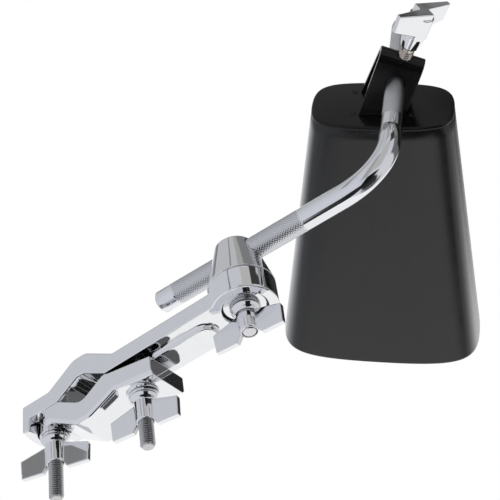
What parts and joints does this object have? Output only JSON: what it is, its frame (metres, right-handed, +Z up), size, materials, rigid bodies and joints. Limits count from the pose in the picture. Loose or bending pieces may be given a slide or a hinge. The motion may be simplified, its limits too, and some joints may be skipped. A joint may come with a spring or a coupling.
{
  "type": "cowbell",
  "caption": "Small flattened cowbell on a cross-holed bracket with wing bolt, carried by a bent knurled rod in a swivelling pipe clamp with wing nuts.",
  "frame": {"origin": "on the axis of the pipe held in the shut jaws, half way along the jaw width", "axes": "+X along the clamp arm towards the swivel boss, +Y along the held pipe, away from the bell's mouth, +Z up along the jaw bolts with the wing nuts below"},
  "size_m": [0.2309, 0.1762, 0.17],
  "materials": {
    "chrome": "polished chrome plate",
    "bolt_steel": "zinc plated, dull grey threads",
    "nickel": "nickel plate",
    "black_coat": "satin black powder coat",
    "brass": "turned"
  },
  "bodies": {
    "clamp": {"clamp_arm": "chrome", "jaw_bolt_left": "bolt_steel", "jaw_bolt_right": "bolt_steel"},
    "jaw": {"lower_jaw": "chrome", "jaw_washer_left": "chrome", "jaw_washer_right": "chrome"},
    "left_nut": {"jaw_wing_nut_left": "chrome"},
    "right_nut": {"jaw_wing_nut_right": "chrome"},
    "swivel": {"swivel_collar": "chrome", "eyebolt": "bolt_steel"},
    "boss_washers": {"boss_washer": "chrome", "boss_spring_washer": "bolt_steel"},
    "boss_nut": {"boss_wing_nut": "chrome"},
    "rod": {"l_rod": "chrome"},
    "bell": {"bell_shell": "black_coat", "bell_top": "black_coat", "bracket": "black_coat"},
    "pad": {"pressure_pad": "brass"},
    "wing_bolt": {"wing_bolt_screw": "nickel", "wing_bolt_handle": "chrome"}
  },
  "joints": [
    {"name": "jaw_open", "type": "slide", "parent": "clamp", "child": "jaw", "axis": [0, 0, -1], "range_m": [0, 0.012]},
    {"name": "left_nut_turn", "type": "hinge", "parent": "jaw", "child": "left_nut", "pos_m": [-0.0236, 0, -0.01], "axis": [0, 0, -1], "range_deg": [0, 4320]},
    {"name": "right_nut_turn", "type": "hinge", "parent": "jaw", "child": "right_nut", "pos_m": [0.0236, 0, -0.01], "axis": [0, 0, -1], "range_deg": [0, 4320]},
    {"name": "swivel_turn", "type": "hinge", "parent": "clamp", "child": "swivel", "pos_m": [0.076, 0, 0], "axis": [0, 0, 1], "continuous": true},
    {"name": "boss_screw", "type": "slide", "parent": "swivel", "child": "boss_washers", "axis": [0, 0, -1], "range_m": [0, 0.003]},
    {"name": "boss_nut_turn", "type": "hinge", "parent": "boss_washers", "child": "boss_nut", "pos_m": [0.076, 0, 0], "axis": [0, 0, -1], "range_deg": [0, 1080]},
    {"name": "rod_turn", "type": "hinge", "parent": "swivel", "child": "rod", "pos_m": [0.076, 0, 0.0264], "axis": [0.9993, 0.0366, 0], "range_deg": [-8, 80]},
    {"name": "bell_slide", "type": "slide", "parent": "rod", "child": "bell", "axis": [0.1783, 0.2518, 0.9512], "range_m": [-0.012, 0.03]},
    {"name": "wing_bolt_screw", "type": "slide", "parent": "bell", "child": "pad", "axis": [0.7817, -0.6234, 0.0185], "range_m": [0, 0.003]},
    {"name": "wing_bolt_turn", "type": "hinge", "parent": "pad", "child": "wing_bolt", "pos_m": [0.14676, 0.02805, 0.08973], "axis": [0.7817, -0.6234, 0.0185], "range_deg": [0, 1080]}
  ],
  "couplings": [
    {"joint": "left_nut_turn", "follows": "jaw_open", "rad_per_m": 6283.2},
    {"joint": "right_nut_turn", "follows": "jaw_open", "rad_per_m": 6283.2},
    {"joint": "boss_nut_turn", "follows": "boss_screw", "rad_per_m": 6283.2},
    {"joint": "wing_bolt_turn", "follows": "wing_bolt_screw", "rad_per_m": 6283.2}
  ]
}
